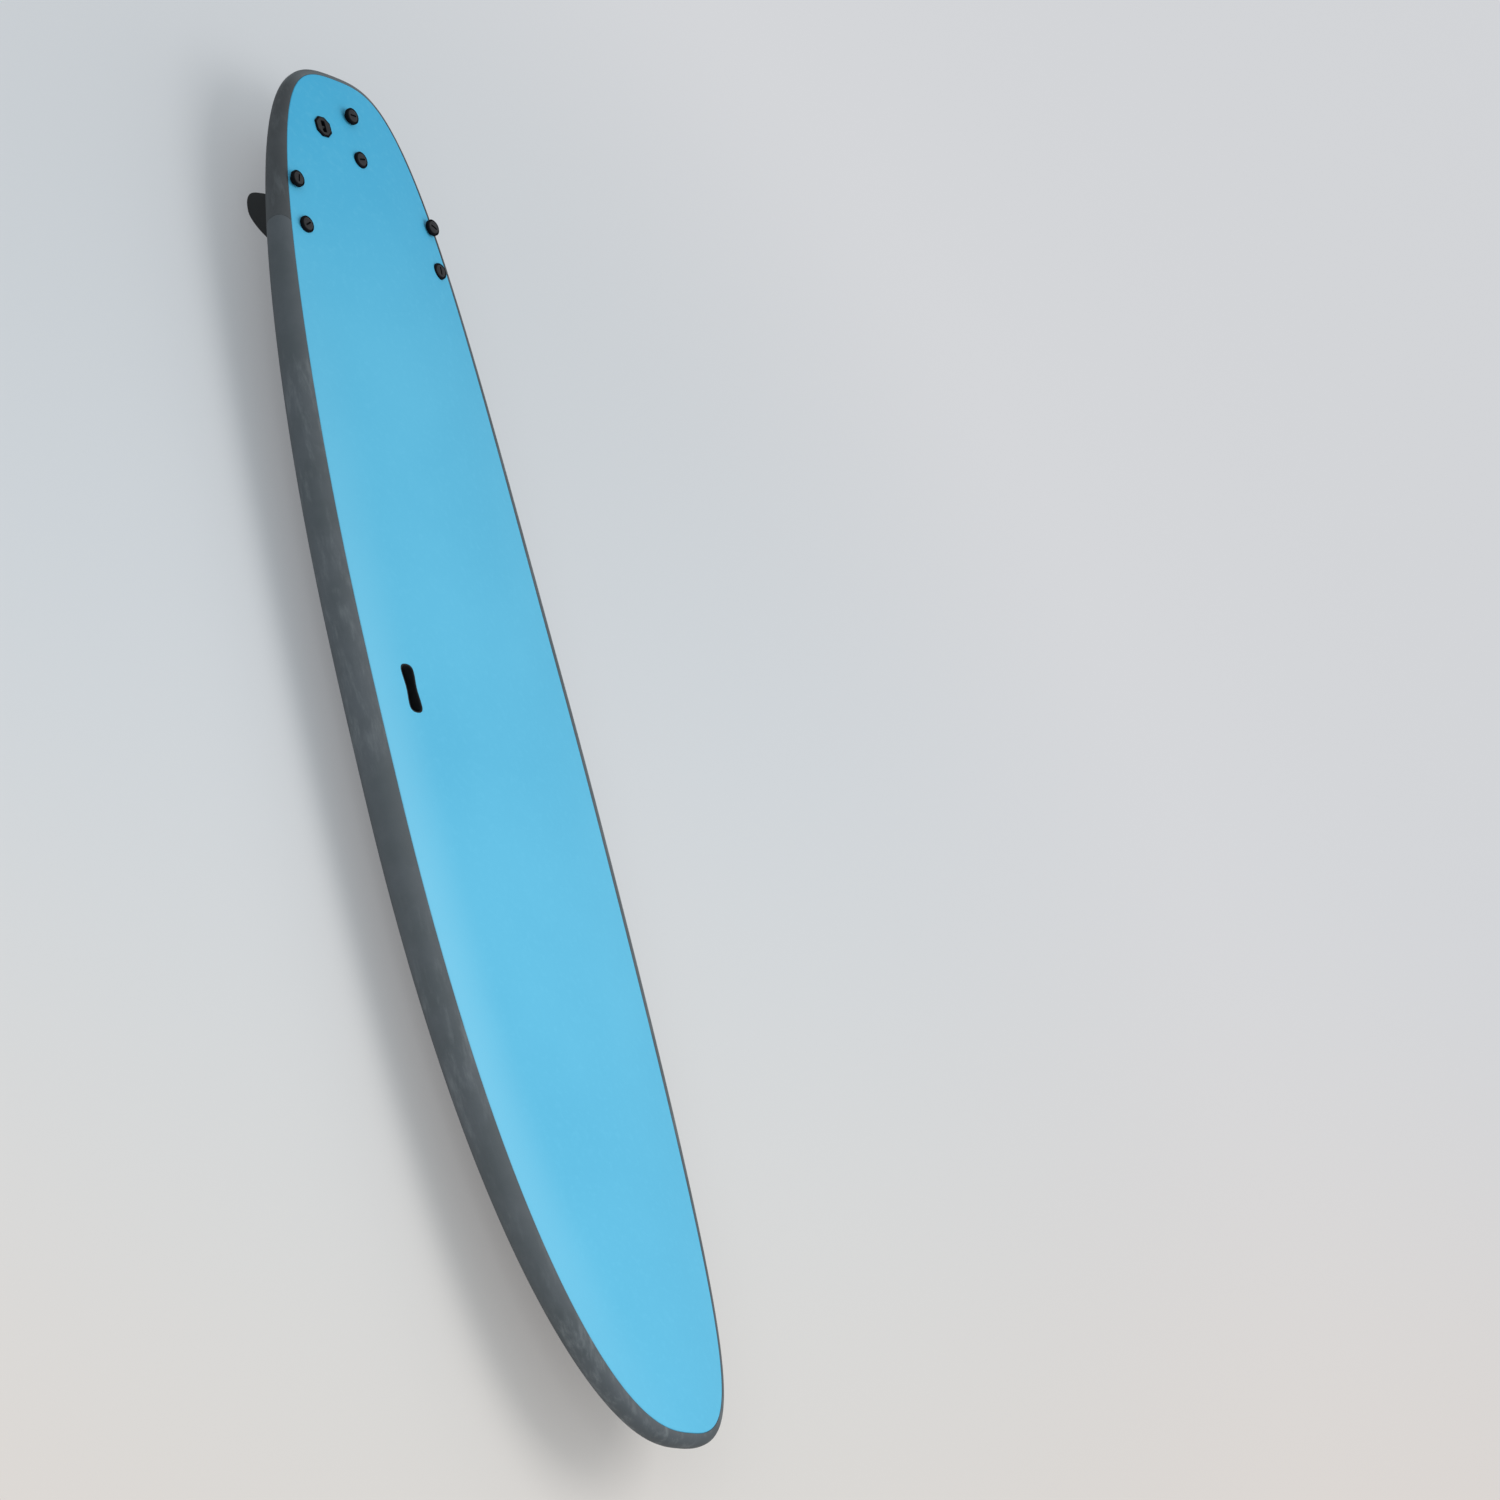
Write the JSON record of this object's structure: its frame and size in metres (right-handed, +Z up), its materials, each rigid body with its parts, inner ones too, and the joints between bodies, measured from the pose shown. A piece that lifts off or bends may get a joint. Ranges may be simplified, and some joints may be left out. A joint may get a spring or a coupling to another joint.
{
  "type": "soft-top longboard surfboard",
  "caption": "Soft-top longboard: blue foam deck, grey foam rails, foam core with stringers, screwed fins, leash plug and moulded finger grip",
  "frame": {"origin": "middle of the board's length and width, on the flat middle of the bottom", "axes": "+X to the board's right, +Y to the nose, +Z up out of the deck"},
  "size_m": [0.57, 2.44, 0.1862],
  "materials": {
    "deck_foam": "matte closed-cell foam skin",
    "rail_foam": "matte closed-cell foam skin, lightly scuffed",
    "slick_bottom": "smooth plastic sheet",
    "core_foam": "expanded foam",
    "plywood": "bare plywood",
    "moulded_black": "moulded black plastic",
    "fin_plastic": "moulded near-black plastic",
    "sleeve_plastic": "plain plastic tube"
  },
  "bodies": {
    "board": {"core_left": "core_foam", "core_centre": "core_foam", "core_right": "core_foam", "stringer_left": "plywood", "stringer_right": "plywood", "deck_skin": "deck_foam", "bottom_skin": "slick_bottom", "rail_band": "rail_foam", "rail_tail": "rail_foam", "handle_cup": "moulded_black", "leash_plug": "moulded_black", "leash_bar": "moulded_black", "fin_left": "fin_plastic", "fin_centre": "fin_plastic", "fin_right": "fin_plastic", "fin_sleeve_left_rear": "sleeve_plastic", "fin_sleeve_left_front": "sleeve_plastic", "fin_sleeve_centre_rear": "sleeve_plastic", "fin_sleeve_centre_front": "sleeve_plastic", "fin_sleeve_right_rear": "sleeve_plastic", "fin_sleeve_right_front": "sleeve_plastic"},
    "washer_left_rear": {"fin_washer_left_rear": "moulded_black"},
    "screw_left_rear": {"fin_screw_left_rear": "moulded_black"},
    "washer_left_front": {"fin_washer_left_front": "moulded_black"},
    "screw_left_front": {"fin_screw_left_front": "moulded_black"},
    "washer_centre_rear": {"fin_washer_centre_rear": "moulded_black"},
    "screw_centre_rear": {"fin_screw_centre_rear": "moulded_black"},
    "washer_centre_front": {"fin_washer_centre_front": "moulded_black"},
    "screw_centre_front": {"fin_screw_centre_front": "moulded_black"},
    "washer_right_rear": {"fin_washer_right_rear": "moulded_black"},
    "screw_right_rear": {"fin_screw_right_rear": "moulded_black"},
    "washer_right_front": {"fin_washer_right_front": "moulded_black"},
    "screw_right_front": {"fin_screw_right_front": "moulded_black"}
  },
  "joints": [
    {"name": "lift_left_rear", "type": "slide", "parent": "board", "child": "washer_left_rear", "axis": [0, 0.0843, 0.9964], "range_m": [0, 0.021]},
    {"name": "turn_left_rear", "type": "hinge", "parent": "washer_left_rear", "child": "screw_left_rear", "pos_m": [-0.17414, -0.96819, 0.08536], "axis": [0, 0.0843, 0.9964], "range_deg": [0, 2521]},
    {"name": "lift_left_front", "type": "slide", "parent": "board", "child": "washer_left_front", "axis": [0, 0.0843, 0.9964], "range_m": [0, 0.021]},
    {"name": "turn_left_front", "type": "hinge", "parent": "washer_left_front", "child": "screw_left_front", "pos_m": [-0.17109, -0.88494, 0.08557], "axis": [0, 0.0843, 0.9964], "range_deg": [0, 2521]},
    {"name": "lift_centre_rear", "type": "slide", "parent": "board", "child": "washer_centre_rear", "axis": [0, 0.1016, 0.9948], "range_m": [0, 0.021]},
    {"name": "turn_centre_rear", "type": "hinge", "parent": "washer_centre_rear", "child": "screw_centre_rear", "pos_m": [0, -1.1294, 0.10025], "axis": [0, 0.1016, 0.9948], "range_deg": [0, 2521]},
    {"name": "lift_centre_front", "type": "slide", "parent": "board", "child": "washer_centre_front", "axis": [0, 0.1016, 0.9948], "range_m": [0, 0.021]},
    {"name": "turn_centre_front", "type": "hinge", "parent": "washer_centre_front", "child": "screw_centre_front", "pos_m": [0, -1.04575, 0.10233], "axis": [0, 0.1016, 0.9948], "range_deg": [0, 2521]},
    {"name": "lift_right_rear", "type": "slide", "parent": "board", "child": "washer_right_rear", "axis": [0, 0.0843, 0.9964], "range_m": [0, 0.021]},
    {"name": "turn_right_rear", "type": "hinge", "parent": "washer_right_rear", "child": "screw_right_rear", "pos_m": [0.17414, -0.96819, 0.08536], "axis": [0, 0.0843, 0.9964], "range_deg": [0, 2521]},
    {"name": "lift_right_front", "type": "slide", "parent": "board", "child": "washer_right_front", "axis": [0, 0.0843, 0.9964], "range_m": [0, 0.021]},
    {"name": "turn_right_front", "type": "hinge", "parent": "washer_right_front", "child": "screw_right_front", "pos_m": [0.17109, -0.88494, 0.08557], "axis": [0, 0.0843, 0.9964], "range_deg": [0, 2521]}
  ],
  "couplings": [
    {"joint": "turn_left_rear", "follows": "lift_left_rear", "rad_per_m": 2094.4},
    {"joint": "turn_left_front", "follows": "lift_left_front", "rad_per_m": 2094.4},
    {"joint": "turn_centre_rear", "follows": "lift_centre_rear", "rad_per_m": 2094.4},
    {"joint": "turn_centre_front", "follows": "lift_centre_front", "rad_per_m": 2094.4},
    {"joint": "turn_right_rear", "follows": "lift_right_rear", "rad_per_m": 2094.4},
    {"joint": "turn_right_front", "follows": "lift_right_front", "rad_per_m": 2094.4}
  ]
}
